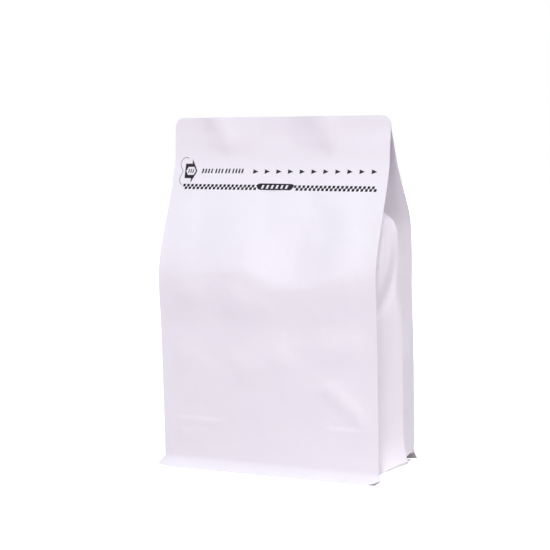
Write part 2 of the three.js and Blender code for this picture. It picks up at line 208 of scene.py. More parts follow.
RIGHT_HOOK = Hook(lobe=2.4, valley=2.6, line=((0.85, 136), (1.02, 101), (0.05, 92)))
RIGHT_SIDE = Side(
    sign=1,
    front=Half(is_back=False, pillow=-0.6, roll=0.9, flare=2.2, hook=RIGHT_HOOK),
    back=Half(is_back=True, pillow=0, roll=0, flare=1.2, hook=None),
)
LEFT_HOOK = Hook(lobe=2.2, valley=2.0, line=((0.78, 132), (0.76, 108), (0.15, 97)))
LEFT_SIDE = Side(
    sign=-1,
    front=Half(is_back=False, pillow=-0.4, roll=1.2, flare=1.8, hook=LEFT_HOOK),
    back=Half(is_back=True, pillow=0.3, roll=0, flare=1.0, hook=None),
)
HOOK_SAMPLES = 24
LOBE_SLOPE = (-1.0, 10.0)  # the lobe grows from the hook over this distance
LOBE_BASE = 0.75  # share of the lobe's height that is left along the start of the hook
VALLEY_NEAR = 6.5  # half width of the valley on the lobe's side
VALLEY_FAR = 3.5
VALLEY_START = 0.1  # depth at the start of the hook, as a share of the whole
ROLL_AT = 0.1  # share of the way to the crease where a roll is highest
FREE_OF_FIN = (0, 0.36)
FREE_OF_CREASE = (0.88, 1)

# Fineness of the film's surface
ROW_STEP = 1.0
PANEL_STEP = 1.0
SIDE_STEPS = 30
FIN_STEPS = 4
ROUND_STEPS = 8
SKIRT_STEPS = 6
WELD_DISTANCE = 0.002
SHARP_DEGREES = 38


def smoothstep(span, value):
    t = np.clip((value - span[0]) / (span[1] - span[0]), 0.0, 1.0)
    return t * t * (3.0 - 2.0 * t)


def curve_through(points, at):
    """Smooth curve through (place, value) points, read at any places."""
    points = sorted(points)
    places = np.array([p[0] for p in points], float)
    values = np.array([p[1] for p in points], float)
    slopes = np.gradient(values, places)
    slopes[1:-1] = (values[2:] - values[:-2]) / (places[2:] - places[:-2])
    i = np.clip(np.searchsorted(places, at, side="right") - 1, 0, len(places) - 2)
    span = places[i + 1] - places[i]
    t = np.clip((at - places[i]) / span, 0.0, 1.0)
    rise = t * t * (3.0 - 2.0 * t)
    bend = slopes[i] * t * (1.0 - t) ** 2 - slopes[i + 1] * t * t * (1.0 - t)
    return values[i] + (values[i + 1] - values[i]) * rise + span * bend


def crown(height, x, z):
    across = np.maximum(1.0 - (x / SEAL_LINE) ** 2, 0.0)
    return height * across * smoothstep(CROWN_FOOT, z) * (1.0 - smoothstep(CROWN_HEAD, z))


def fold_relief(folds, x, z, runs_out=False):
    """Height of a panel's folds, each a soft ridge or valley round a straight line."""
    relief = np.zeros_like(x)
    for fold in folds:
        start, end = np.array(fold.start, float), np.array(fold.end, float)
        run = end - start
        t = ((x - start[0]) * run[0] + (z - start[1]) * run[1]) / (run @ run)
        t = np.clip(t, 0.0, 1.0)
        away = np.hypot(x - start[0] - t * run[0], z - start[1] - t * run[1])
        height = fold.height * (1.0 - t) if runs_out else fold.height
        relief += height * np.exp(-((away / fold.width) ** 2))
    return relief


def ledge_relief(ledges, x, z):
    """Height of a panel's ledges: a sharp step under the ledge's line that fades downwards."""
    relief = np.zeros_like(x)
    for ledge in ledges:
        drop = ledge.height - z
        step = smoothstep((-LEDGE_SHARPNESS, LEDGE_SHARPNESS), drop)
        fade = np.clip(1.0 - drop / LEDGE_FADE, 0.0, 1.0)
        ends = smoothstep((ledge.left, ledge.left + LEDGE_END), x)
        ends = ends * (1.0 - smoothstep((ledge.right - LEDGE_END, ledge.right), x))
        relief += ledge.step * step * fade * ends
    return relief


def belly_grain(x, z, seed):
    """Faint unevenness of the film over the contents."""
    places = np.stack([x, z], axis=-1).reshape(-1, 2) / BELLY_GRAIN_SIZE
    layers = (BELLY_GRAIN_FALL, BELLY_GRAIN_FINER, BELLY_GRAIN_LAYERS)
    values = [noise.fractal((u, v, seed), *layers) for u, v in places]
    return BELLY_GRAIN * np.array(values).reshape(x.shape)


def held_by_edges(x):
    """The seal lines hold the film: folds fade towards them."""
    return 1.0 - EDGE_HOLD * smoothstep((SEAL_LINE - EDGE_HOLD_WIDTH, SEAL_LINE), np.abs(x))


def header_relief(x, z):
    """How far the header stands forward: it leans from its scalloped line up, and has flutes."""
    over = (z - curve_through(SCALLOPS, x)) / SCALLOP_ROUND
    lean = SCALLOP_LEAN * SCALLOP_ROUND * np.logaddexp(0.0, over)
    return lean + fold_relief(HEADER_FLUTES, x, z, runs_out=True)


def panel_folds(folds, ledges, seed, head, x, z):
    """Height of all the relief between a panel's hem and its header."""
    relief = fold_relief(folds, x, z) + ledge_relief(ledges, x, z)
    relief = (relief + belly_grain(x, z, seed)) * smoothstep(FOLDS_FOOT, z)
    return relief * (1.0 - smoothstep(head, z)) * held_by_edges(x)


def front_y(x, z):
    x, z = np.broadcast_arrays(np.asarray(x, float), np.asarray(z, float))
    near = np.exp(-(((z - SHOULDER_HEIGHT) / SHOULDER_REACH) ** 2))
    shifted = z - curve_through(SHOULDER_WAVE, x) * near
    folds = panel_folds(FRONT_FOLDS, FRONT_LEDGES, FRONT_GRAIN_SEED, FRONT_FOLDS_HEAD, x, z)
    out = crown(FRONT_CROWN, x, z) + folds + header_relief(x, z)
    return curve_through(FRONT_EDGE, shifted) - out


def header_shift(x, z):
    """How far the back and the sides follow the header forward, all the way at the seal."""
    return -header_relief(x, z) * smoothstep(HEADER_FOLLOWS, z)


def back_y(x, z):
    x, z = np.broadcast_arrays(np.asarray(x, float), np.asarray(z, float))
    folds = panel_folds(BACK_FOLDS, BACK_LEDGES, BACK_GRAIN_SEED, BACK_FOLDS_HEAD, x, z)
    return curve_through(BACK_EDGE, z) + crown(BACK_CROWN, x, z) + folds + header_shift(x, z)


def fin_inner_y(z):
    """Inner faces of the fins, where the side fold starts. They meet at the foot of the seal."""
    front = curve_through(FRONT_EDGE, z)
    back = curve_through(BACK_EDGE, z)
    middle = (front + back) / 2.0
    closed = z >= SEAL_FOOT - TINY
    inner_front = np.where(closed, middle, np.minimum(front + FIN_THICKNESS, middle))
    inner_back = np.where(closed, middle, np.maximum(back - FIN_THICKNESS, middle))
    return inner_front, inner_back


def folded_x(z):
    inner_front, inner_back = fin_inner_y(z)
    gap = np.clip((inner_back - inner_front) / 2.0, 0.0, FOLD_DEPTH)
    return SEAL_LINE - np.sqrt(FOLD_DEPTH**2 - gap**2)


def foot_flare(z):
    """Share of the sideways flare at a height, from the hem up."""
    return np.clip((FLARE_TOP - z) / (FLARE_TOP - HEM), 0.0, 1.0) ** 2


def front_crease_x(z):
    shelf_x = folded_x(np.array([SHELF_HEIGHT]))[0]
    climb = np.clip((z - SHELF_START) / (SHELF_HEIGHT - SHELF_START), 0.0, 1.0)
    shoulder = (1.0 - climb**SHELF_POWER) ** (1.0 / SHELF_POWER)
    out = CREASE_OUT - CREASE_WAIST * smoothstep(CREASE_WAIST_FOOT, z)
    below = shelf_x + (out - shelf_x) * shoulder + CREASE_FLARE * foot_flare(z)
    return np.where(z >= SHELF_HEIGHT, folded_x(z), below)


def back_crease_x(z):
    filled = (CREASE_OUT - SEAL_LINE) * (1.0 - smoothstep(BACK_FILL, z))
    return folded_x(z) + filled + CREASE_FLARE * foot_flare(z)


def from_hook(line, s, z):
    """Signed distance from a hook's curve, above zero on the lobe's side, and how far along it."""
    distance = np.full(np.broadcast(s, z).shape, np.inf)
    side, share = np.zeros_like(distance), np.zeros_like(distance)
    for t in np.linspace(0.0, 1.0, HOOK_SAMPLES):
        place = [(1 - t) ** 2 * a + 2 * t * (1 - t) * b + t * t * c for a, b, c in zip(*line)]
        run = [2 * (1 - t) * (b - a) + 2 * t * (c - b) for a, b, c in zip(*line)]
        away_s, away_z = (s - place[0]) * FOLD_DEPTH, z - place[1]
        away = np.hypot(away_s, away_z)
        nearer = away < distance
        distance = np.where(nearer, away, distance)
        turned = run[1] * away_s - run[0] * FOLD_DEPTH * away_z
        side = np.where(nearer, np.sign(turned), side)
        share = np.where(nearer, t, share)
    return distance * side, share


def hook_relief(hook, s, z):
    """Height of the lobe less the depth of the hooked valley under it."""
    away, share = from_hook(hook.line, s, z)
    least = LOBE_BASE * (1.0 - share)
    lobe = hook.lobe * (least + (1.0 - least) * smoothstep(LOBE_SLOPE, away))
    flank = np.where(away > 0, VALLEY_NEAR, VALLEY_FAR)
    depth = hook.valley * (VALLEY_START + (1.0 - VALLEY_START) * share)
    valley = depth * np.exp(-((away / flank) ** 2))
    held = smoothstep(FREE_OF_FIN, s) * (1.0 - smoothstep(FREE_OF_CREASE, s))
    return (lobe - valley) * held


def side_relief(half, s, z):
    """Height of one half of a side over the straight line from fin to crease."""
    head = 1.0 - smoothstep(PILLOW_HEAD, z)
    body = smoothstep(PILLOW_FOOT, z) * head
    pillow = half.pillow * np.sin(np.pi * s) * body
    roll = half.roll * s / ROLL_AT * np.exp(1.0 - s / ROLL_AT) * body
    flare = half.flare * np.sin(np.pi * s) * foot_flare(z)
    relief = pillow + roll + flare
    if half.hook:
        relief = relief + hook_relief(half.hook, s, z) * head
    return relief


def fin_root_x(half, z):
    """Where a half of a side leaves its fin."""
    out = BACK_ROOT_OUT * (1.0 - smoothstep(BACK_ROOT_HEAD, z)) if half.is_back else 0.0
    return SEAL_LINE + out * np.ones_like(z)


def side_half(sign, half, s, z, fin_y):
    """Places of one half of a side, from the fin (s = 0) to the middle crease (s = 1)."""
    inner_front, inner_back = fin_inner_y(z)
    shift = CREASE_SHIFT * (1.0 - smoothstep((SHELF_HEIGHT, SEAL_FOOT), z))
    front_crease, back_crease = front_crease_x(z), back_crease_x(z)
    over = smoothstep(OVERHANG, s) if half.is_back else 1.0
    root_x = fin_root_x(half, z)
    along_x = back_crease + (front_crease - back_crease) * over - root_x
    along_y = (inner_front + inner_back) / 2.0 + shift - fin_y
    length = np.maximum(np.hypot(along_x, along_y), TINY)
    turn = np.sign(along_y)
    relief = side_relief(half, s, z) * np.where(turn == 0, 0.0, 1.0)
    x = root_x + along_x * s + turn * along_y / length * relief
    y = fin_y + along_y * s - turn * along_x / length * relief
    return sign * x, y


def half_width_at(z):
    up = np.maximum(z - (HEIGHT - CORNER_RADIUS), 0.0)
    return HALF_WIDTH - CORNER_RADIUS + np.sqrt(np.maximum(CORNER_RADIUS**2 - up**2, 0.0))


# ---------------------------------------------------------------- the film's surface, patch by patch


def panel_places():
    """Places across a panel from tip to tip, with the seal lines among them."""
    fin = np.linspace(HALF_WIDTH, SEAL_LINE, FIN_STEPS + 1)[:-1]
    count = round(2 * SEAL_LINE / PANEL_STEP)
    belly = np.linspace(-SEAL_LINE, SEAL_LINE, count + 1)
    return np.concatenate([-fin, belly, fin[::-1]])


def row_heights():
    count = round((SEAL_FOOT - HEM) / ROW_STEP)
    return np.linspace(HEM, SEAL_FOOT, count + 1)


def panel_patch(y_at, heights):
    z = heights[:, None]
    x = panel_places()[None, :] * (half_width_at(z) / HALF_WIDTH)
    z = np.broadcast_to(z, x.shape)
    return np.stack([x, y_at(x, z), z], axis=-1)


def rim_height(s, at_fin):
    """Height of the lower rim of a side, from the hem at the fin's tip (s = -1) to the crease."""
    on_fin = at_fin + (HEM - at_fin) * np.clip(-s, 0.0, 1.0)
    up = np.sin(np.pi / 2 * np.clip(s / RIM_RISE, 0.0, 1.0))
    return np.where(s < 0, on_fin, at_fin + (SHEET_AT_SIDE - at_fin) * up)


def half_places(side, half, fin_y, heights):
    """One half of a side from its fin's tip to the crease, row by row."""
    z = heights[:, None]
    fin_s = np.linspace(-1.0, 0.0, FIN_STEPS + 1)[:-1]
    fold_s = np.linspace(0.0, 1.0, SIDE_STEPS + 1)
    fold_x, fold_y = side_half(side.sign, half, fold_s[None, :], z, fin_y)
    root_x = fin_root_x(half, z)
    fin_x = side.sign * (root_x - fin_s * (HALF_WIDTH - root_x))
    x = np.concatenate([fin_x, fold_x], axis=1)
    y = np.concatenate([np.broadcast_to(fin_y, fin_x.shape), fold_y], axis=1)
    level = np.broadcast_to(z, x.shape).copy()
    y = y + header_shift(x, level)
    at_fin = RIM_AT_BACK_FIN if half.is_back else SHEET_AT_FIN
    level[0] = rim_height(np.concatenate([fin_s, fold_s]), at_fin)
    return np.stack([x, y, level], axis=-1)


def side_patch(side, heights):
    """A side from the front fin's outer tip to the back fin's outer tip, row by row."""
    inner_front, inner_back = fin_inner_y(heights[:, None])
    front = half_places(side, side.front, inner_front, heights)
    back = half_places(side, side.back, inner_back, heights)
    tip_x = np.full(len(heights), side.sign * HALF_WIDTH)
    front_tip = np.stack([tip_x, front_y(tip_x, heights), heights], axis=-1)[:, None]
    back_tip = np.stack([tip_x, back_y(tip_x, heights), heights], axis=-1)[:, None]
    return np.concatenate([front_tip, front, back[:, -2::-1], back_tip], axis=1)


def seal_patches():
    """The top seal, whose round corners narrow its front and back faces."""
    turn = np.linspace(0.0, np.pi / 2, ROUND_STEPS + 1)
    rounds = HEIGHT - CORNER_RADIUS + CORNER_RADIUS * np.sin(turn)
    heights = np.concatenate([[SEAL_FOOT, SEAL_FOOT + SEAL_FIRST_ROW], rounds])
    front = panel_patch(front_y, heights)
    back = panel_patch(back_y, heights)
    middle = (front + back) / 2
    top_edge = np.stack([front[-1], middle[-1], back[-1]])
    right_edge = np.stack([front[:, -1], middle[:, -1], back[:, -1]], axis=1)
    left_edge = np.stack([back[:, 0], middle[:, 0], front[:, 0]], axis=1)
    return [front, back[:, ::-1], top_edge, right_edge, left_edge]


def film_patches():
    heights = row_heights()
    front = panel_patch(front_y, heights)
    back = panel_patch(back_y, heights)
    right = side_patch(RIGHT_SIDE, heights)
    left = side_patch(LEFT_SIDE, heights)
    patches = [front, back[:, ::-1], right, left[:, ::-1]]
    return patches + seal_patches() + bottom_patches(front[0], back[0], right[0], left[0])


def skirt_foot(skirt, x, edge_y):
    """The lower edge of a skirt, which spreads, draws in and lifts towards its ends."""
    end = np.clip((np.abs(x) - (HALF_WIDTH - SKIRT_END)) / SKIRT_END, 0.0, 1.0) ** 2
    spread, draw_in, lift = (np.where(x < 0, *ends) * end for ends in zip(skirt.left, skirt.right))
    foot_y = edge_y + skirt.outward * (SKIRT_FLARE - draw_in)
    return np.stack([x + np.sign(x) * spread, foot_y, lift], axis=-1)


def skirt_root(skirt, x, edge_y, side_roots):
    """The line where a skirt's inner face meets the bottom sheet and the two sides."""
    dip = np.clip(np.abs(x) / SEAL_LINE, 0, 1) ** SHEET_DIP_POWER
    sheet_z = SHEET_AT_SKIRT + (SHEET_AT_FIN - SHEET_AT_SKIRT) * dip
    inner_y = np.full_like(x, edge_y - skirt.outward * FIN_THICKNESS)
    root = np.stack([x, inner_y, sheet_z], axis=-1)
    root[: FIN_STEPS + 1] = side_roots[0]
    root[-FIN_STEPS - 1 :] = side_roots[1][::-1]
    return root


def skirt_patches(skirt, hem_line, side_roots, edge_y):
    """The flared skirt of one panel: outer face, lower edge, and inner face up to the sheet."""
    outer = skirt_foot(skirt, hem_line[:, 0], edge_y)
    inner = outer - np.array([0.0, skirt.outward * SKIRT_THICKNESS, 0.0])
    root = skirt_root(skirt, hem_line[:, 0], edge_y, side_roots)
    shares = np.linspace(0.0, 1.0, SKIRT_STEPS + 1)[:, None, None]
    face = outer + (hem_line - outer) * shares
    face[:, :, 1] -= skirt.outward * SKIRT_BULGE * np.sin(np.pi * shares[:, :, 0])
    inside = inner + (root - inner) * shares
    left_end = np.stack([inside[:, 0], face[:, 0]], axis=1)
    right_end = np.stack([face[:, -1], inside[:, -1]], axis=1)
    patches = [face, np.stack([inner, outer]), inside[::-1], left_end, right_end]
    if skirt.outward > 0:
        patches = [patch[:, ::-1] for patch in patches]
    return patches, root[FIN_STEPS : len(root) - FIN_STEPS]


def bottom_patches(front_hem, back_hem, right_rim, left_rim):
    first, last = slice(1, FIN_STEPS + 2), slice(-FIN_STEPS - 2, -1)
    front_roots = left_rim[first], right_rim[first]
    back_roots = left_rim[last][::-1], right_rim[last][::-1]
    front_edge = float(curve_through(FRONT_EDGE, np.array(HEM)))
    back_edge = float(curve_through(BACK_EDGE, np.array(HEM)))
    front_skirt, front_line = skirt_patches(FRONT_SKIRT, front_hem, front_roots, front_edge)
    back_skirt, back_line = skirt_patches(BACK_SKIRT, back_hem, back_roots, back_edge)
    inner = slice(FIN_STEPS + 1, -FIN_STEPS - 1)
    sheet = bottom_sheet(front_line, back_line, left_rim[inner], right_rim[inner])
    return front_skirt + back_skirt + [sheet]


def bottom_sheet(front, back, left, right):
    """The bottom sheet sags from the skirts and the side rims to a flat middle."""
    u = np.linspace(0.0, 1.0, len(front))[None, :, None]
    v = np.linspace(0.0, 1.0, len(left))[:, None, None]
    across_depth = front[None] * (1 - v) + back[None] * v
    across_width = left[:, None] * (1 - u) + right[:, None] * u
    front_corners = front[0] * (1 - u) + front[-1] * u
    back_corners = back[0] * (1 - u) + back[-1] * u
    sheet = across_depth + across_width - front_corners * (1 - v) - back_corners * v
    rise_x = np.maximum((np.abs(2 * u - 1) - SHEET_FLAT_X) / (1 - SHEET_FLAT_X), 0.0)
    rise_y = np.maximum((np.abs(2 * v - 1) - SHEET_FLAT_Y) / (1 - SHEET_FLAT_Y), 0.0)
    sheet[:, :, 2:] *= np.maximum(rise_x, rise_y) ** 2
    return sheet[::-1]


def grid_faces(rows, columns, first):
    """Faces of a patch whose columns run to the right and rows upwards, seen from outside."""
    corner = first + np.arange(rows - 1)[:, None] * columns + np.arange(columns - 1)
    around = [corner, corner + 1, corner + columns + 1, corner + columns]
    return np.stack(around, axis=-1).reshape(-1, 4)


def mesh_object(name, places, faces):
    mesh = bpy.data.meshes.new(name)
    mesh.from_pydata((np.asarray(places) * MM).tolist(), [], [list(face) for face in faces])
    mesh.validate()
    piece = bpy.data.objects.new(name, mesh)
    bpy.context.scene.collection.objects.link(piece)
    return piece


def weld(piece):
    """Joins the patches of a piece along their shared borders."""
    mesh = bmesh.new()
    mesh.from_mesh(piece.data)
    bmesh.ops.remove_doubles(mesh, verts=mesh.verts, dist=WELD_DISTANCE * MM)
    bmesh.ops.dissolve_degenerate(mesh, edges=mesh.edges, dist=WELD_DISTANCE * MM)
    mesh.to_mesh(piece.data)
    mesh.free()


def make_film():
    places, faces = [], []
    count = 0
    for patch in film_patches():
        rows, columns = patch.shape[:2]
        places.append(patch.reshape(-1, 3))
        faces.append(grid_faces(rows, columns, count))
        count += rows * columns
    film = mesh_object("film", np.concatenate(places), np.concatenate(faces))
    weld(film)
    film.data.shade_smooth()
    film.data.set_sharp_from_angle(angle=math.radians(SHARP_DEGREES))
    return film


film = make_film()


# ---------------------------------------------------------------- nodes


def fill_inputs(tree, node, inputs):
    """Fills a node's inputs, each by a link from another node or by a value."""
    for socket, value in inputs.items():
        if isinstance(value, bpy.types.NodeSocket):
            tree.links.new(value, node.inputs[socket])
        else:
            node.inputs[socket].default_value = value


def add_node(tree, kind, inputs=None, **settings):
    node = tree.nodes.new(kind)
    for name, value in settings.items():
        setattr(node, name, value)
    fill_inputs(tree, node, inputs or {})
    return node


# ---------------------------------------------------------------- print on the header

# Places on the front panel are (x, z). A stroke row is a short row of leaning strokes: left foot
# of its first stroke, middle height, count, pitch and the size of a stroke.
StrokeRow = namedtuple("StrokeRow", "left middle count pitch size")
# Marks that a printed row repeats: their count, the place of the first, the step to the next, and
# the two x between which there are none.
MarkRow = namedtuple("MarkRow", "name count start step skip")

ROW_HEIGHT = 167.7
POINTER_COUNT = 11
POINTER_FIRST = -15.0
POINTER_PITCH = 7.04
POINTER_WIDTH = 3.1
POINTER_TALL = 2.5
NO_GAP = (0.0, 0.0)

STRIP_START = (-57.8, 159.3)
STRIP_END = (59.2, 158.6)
CHECK_PITCH = 2.54
CHECK_WIDE = 1.5
CHECK_TALL = 1.45
CHECK_SLANT = 0.2  # a check leans this far to the right for each millimetre of its height

LABEL_OUTLINE = (
    (-12.0, 160.1), (-10.9, 160.9), (-9.6, 161.25), (9.0, 161.05), (10.4, 160.7),
    (10.9, 160.0), (9.6, 158.0), (8.4, 157.6), (-9.2, 157.75), (-10.6, 158.2),
)
LABEL_SKIP = (-11.9, 9.9)  # the checks stop between these places
LABEL_STROKES = StrokeRow(-8.6, 159.4, 6, 2.9, (1.3, 1.9))
LABEL_SLANT = 0.35

ARROW_SHAFT = (-57.8, -53.6)
ARROW_SHAFT_HALF = 4.05
ARROW_BARB_HALF = 6.6
ARROW_TIP = -50.2
ARROW_MIDDLE = 168.0
WINDOW_HALF = 2.25
WINDOW_ENDS = (-57.3, -56.0, -52.3, -51.1)

STROKE_SIZE = (0.9, 2.5)
STROKE_SLANT = 0.2
STROKE_ROWS = (
    StrokeRow(-47.0, ARROW_MIDDLE, 4, 1.9, STROKE_SIZE),
    StrokeRow(-38.6, ARROW_MIDDLE, 3, 1.9, STROKE_SIZE),
    StrokeRow(-32.3, ARROW_MIDDLE, 2, 1.9, STROKE_SIZE),
    StrokeRow(-27.9, ARROW_MIDDLE, 4, 1.9, STROKE_SIZE),
    StrokeRow(-55.8, ARROW_MIDDLE, 3, 1.35, (0.6, 2.2)),  # in the arrow's window
)

# Curve of the die-cut tab at the left end, from over the arrow down to the strip
TAB_CUT = (
    (-55.9, 175.2), (-58.1, 175.6), (-60.0, 174.3), (-61.1, 172.0), (-60.6, 170.1), (-59.6, 168.4),
    (-59.6, 166.7), (-60.4, 165.0), (-60.8, 163.1), (-60.0, 161.1), (-58.9, 160.4),
)
TAB_CUT_WIDTH = 0.42
TAB_CUT_SAMPLES = 12  # between two of its points

INK_CELL = 0.8
INK_OVER = 0.05  # the ink stands this far over the film, and reaches as far into it
INK_UNDER = 0.05
INK_WELD = 0.005
RAY_START = -80.0  # the rays that lay a row on the film start this far in front of it
RAY_LENGTH = 120.0
WHOLE_HULL = 0  # the triangulation fills all that its points span
SAME_PLACE = 1e-5  # it takes points this close for one


def leaning_strokes(row, slant):
    """Outlines of a short row of leaning strokes."""
    lefts = [row.left + i * row.pitch for i in range(row.count)]
    return [slanted_box(left, row.middle, row.size, slant) for left in lefts]


def slanted_box(left, middle, size, slant):
    """Outline of a leaning mark, from its left foot at mid height."""
    half = size[1] / 2
    lean = slant * half
    return [
        (left - lean, middle - half),
        (left + size[0] - lean, middle - half),
        (left + size[0] + lean, middle + half),
        (left + lean, middle + half),
    ]


def is_inside(outlines, place):
    """Whether a place is in the shape, counting the outlines' edges to its right."""
    inside = False
    for outline in outlines:
        for a, b in zip(outline, outline[1:] + outline[:1]):
            if (a[1] > place[1]) != (b[1] > place[1]):
                crossing = a[0] + (place[1] - a[1]) / (b[1] - a[1]) * (b[0] - a[0])
                inside ^= crossing > place[0]
    return inside


def flat_shape(outlines):
    """Small triangles that fill closed outlines, where an outline inside another is a hole."""
    places, edges = [], []
    for outline in outlines:
        first = len(places)
        places += [Vector(p) for p in outline]
        edges += [(first + i, first + (i + 1) % len(outline)) for i in range(len(outline))]
    low, high = np.min(places, axis=0), np.max(places, axis=0)
    for x in np.arange(low[0] + INK_CELL / 2, high[0], INK_CELL):
        for z in np.arange(low[1] + INK_CELL / 2, high[1], INK_CELL):
            places.append(Vector((x, z)))
    found, _, hull, *_ = geometry.delaunay_2d_cdt(places, edges, [], WHOLE_HULL, SAME_PLACE)
    middles = [sum((found[i] for i in triangle), Vector((0, 0))) / 3 for triangle in hull]
    triangles = [triangle for triangle, middle in zip(hull, middles) if is_inside(outlines, middle)]
    used = sorted({i for triangle in triangles for i in triangle})
    number = {old: new for new, old in enumerate(used)}
    points = np.array([found[i] for i in used], float)
    return points, np.array([[number[i] for i in triangle] for triangle in triangles])


def border_edges(triangles):
    """Edges that belong to one triangle only, in that triangle's direction."""
    around = [(t[i], t[(i + 1) % 3]) for t in triangles.tolist() for i in range(3)]
    directed = set(around)
    return [edge for edge in around if (edge[1], edge[0]) not in directed]


def draped_print(name, outlines, over=INK_OVER):
    """A thin closed layer of ink on the front panel."""
    points, triangles = flat_shape(outlines)
    x, z = points[:, 0], points[:, 1]
    film_y = front_y(x, z)
    top = np.stack([x, film_y - over, z], axis=-1)
    bottom = np.stack([x, film_y + INK_UNDER, z], axis=-1)
    count = len(points)
    front_faces = triangles.tolist()
    back_faces = [[i + count for i in reversed(triangle)] for triangle in front_faces]
    rim_faces = [[b, a, a + count, b + count] for a, b in border_edges(triangles)]
    faces = front_faces + back_faces + rim_faces
    return mesh_object(name, np.concatenate([top, bottom]), faces)


def flat_mark(name, outlines):
    """A flat mark round the origin that a row repeats."""
    points, triangles = flat_shape(outlines)
    places = np.stack([points[:, 0], np.zeros(len(points)), points[:, 1]], axis=-1)
    return mesh_object(name, places, triangles.tolist())


ROW_INPUTS = {
    "Mark": "NodeSocketObject",
    "Film": "NodeSocketObject",
    "Material": "NodeSocketMaterial",
    "Count": "NodeSocketInt",
    "Start": "NodeSocketVector",
    "Step": "NodeSocketVector",
    "Skip From": "NodeSocketFloat",
    "Skip To": "NodeSocketFloat",
    "Under": "NodeSocketFloat",
    "Thickness": "NodeSocketFloat",
}


def print_row_tree():
    """Repeats a mark along a straight line, lays it on the film and gives it a thickness."""
    tree = bpy.data.node_groups.new("print_row", "GeometryNodeTree")
    sockets = {}
    for name, kind in ROW_INPUTS.items():
        socket = tree.interface.new_socket(name=name, in_out="INPUT", socket_type=kind)
        sockets[name] = socket.identifier
    tree.interface.new_socket(name="Geometry", in_out="OUTPUT", socket_type="NodeSocketGeometry")
    given = add_node(tree, "NodeGroupInput").outputs
    marks = marks_in_a_row(tree, given)
    laid = laid_on_film(tree, given, marks)
    printed = thickened(tree, given, laid)
    inked = add_node(
        tree, "GeometryNodeSetMaterial", {"Geometry": printed, "Material": given["Material"]}
    )
    add_node(tree, "NodeGroupOutput", {0: inked.outputs[0]})
    return tree, sockets


def marks_in_a_row(tree, given):
    """Copies of the mark at the points of a line, apart from the points in the gap."""
    line = add_node(
        tree,
        "GeometryNodeMeshLine",
        {"Count": given["Count"], "Start Location": given["Start"], "Offset": given["Step"]},
        mode="OFFSET",
    )
    here = add_node(tree, "GeometryNodeInputPosition")
    x = add_node(tree, "ShaderNodeSeparateXYZ", {0: here.outputs[0]}).outputs["X"]
    after = add_node(
        tree, "FunctionNodeCompare", {0: x, 1: given["Skip From"]}, operation="GREATER_THAN"
    )
    before = add_node(
        tree, "FunctionNodeCompare", {0: x, 1: given["Skip To"]}, operation="LESS_THAN"
    )
    in_gap = add_node(
        tree, "FunctionNodeBooleanMath", {0: after.outputs[0], 1: before.outputs[0]}, operation="AND"
    )
    points = add_node(
        tree,
        "GeometryNodeDeleteGeometry",
        {"Geometry": line.outputs[0], "Selection": in_gap.outputs[0]},
    )
    mark = add_node(tree, "GeometryNodeObjectInfo", {"Object": given["Mark"]})
    copies = add_node(
        tree,
        "GeometryNodeInstanceOnPoints",
        {"Points": points.outputs[0], "Instance": mark.outputs["Geometry"]},
    )
    return add_node(tree, "GeometryNodeRealizeInstances", {0: copies.outputs[0]}).outputs[0]


def laid_on_film(tree, given, marks):
    """Moves every point of the marks straight back, to just under the film's surface."""
    surface = add_node(tree, "GeometryNodeObjectInfo", {"Object": given["Film"]})
    here = add_node(tree, "GeometryNodeInputPosition")
    axes = add_node(tree, "ShaderNodeSeparateXYZ", {0: here.outputs[0]}).outputs
    in_front = add_node(
        tree, "ShaderNodeCombineXYZ", {"X": axes["X"], "Y": RAY_START * MM, "Z": axes["Z"]}
    )
    ray = add_node(
        tree,
        "GeometryNodeRaycast",
        {
            "Target Geometry": surface.outputs["Geometry"],
            "Source Position": in_front.outputs[0],
            "Ray Direction": (0, 1, 0),
            "Ray Length": RAY_LENGTH * MM,
        },
    ).outputs
    sunk = add_node(tree, "ShaderNodeCombineXYZ", {"Y": given["Under"]})
    laid = add_node(
        tree,
        "GeometryNodeSetPosition",
        {
            "Geometry": marks,
            "Selection": ray["Is Hit"],
            "Position": ray["Hit Position"],
            "Offset": sunk.outputs[0],
        },
    )
    return laid.outputs[0]


def thickened(tree, given, marks):
    """Closes the flat marks to thin slabs that stand forward."""
    forward = add_node(tree, "ShaderNodeCombineXYZ", {"Y": -1})
    raised = add_node(
        tree,
        "GeometryNodeExtrudeMesh",
        {
            "Mesh": marks,
            "Offset": forward.outputs[0],
            "Offset Scale": given["Thickness"],
            "Individual": False,
        },
    )
    back = add_node(tree, "GeometryNodeFlipFaces", {0: marks})
    both = add_node(tree, "GeometryNodeJoinGeometry", {0: back.outputs[0]})
    tree.links.new(raised.outputs["Mesh"], both.inputs[0])
    merged = add_node(
        tree,
        "GeometryNodeMergeByDistance",
        {"Geometry": both.outputs[0], "Distance": INK_WELD * MM},
    )
    return merged.outputs[0]


def print_row(tree, sockets, row, mark, material):
    """A printed row as a plain mesh."""
    piece = mesh_object(row.name, np.zeros((0, 3)), [])
    modifier = piece.modifiers.new("row", "NODES")
    modifier.node_group = tree
    values = {
        "Mark": mark,
        "Film": film,
        "Material": material,
        "Count": row.count,
        "Start": [row.start[0] * MM, 0.0, row.start[1] * MM],
        "Step": [row.step[0] * MM, 0.0, row.step[1] * MM],
        "Skip From": row.skip[0] * MM,
        "Skip To": row.skip[1] * MM,
        "Under": INK_UNDER * MM,
        "Thickness": (INK_OVER + INK_UNDER) * MM,
    }
    for name, value in values.items():
        modifier[sockets[name]] = value
    bpy.context.view_layer.update()
    evaluated = piece.evaluated_get(bpy.context.evaluated_depsgraph_get())
    printed = bpy.data.meshes.new_from_object(evaluated)
    piece.modifiers.clear()
    piece.data = printed
    printed.name = row.name
    bpy.data.objects.remove(mark)
    return piece


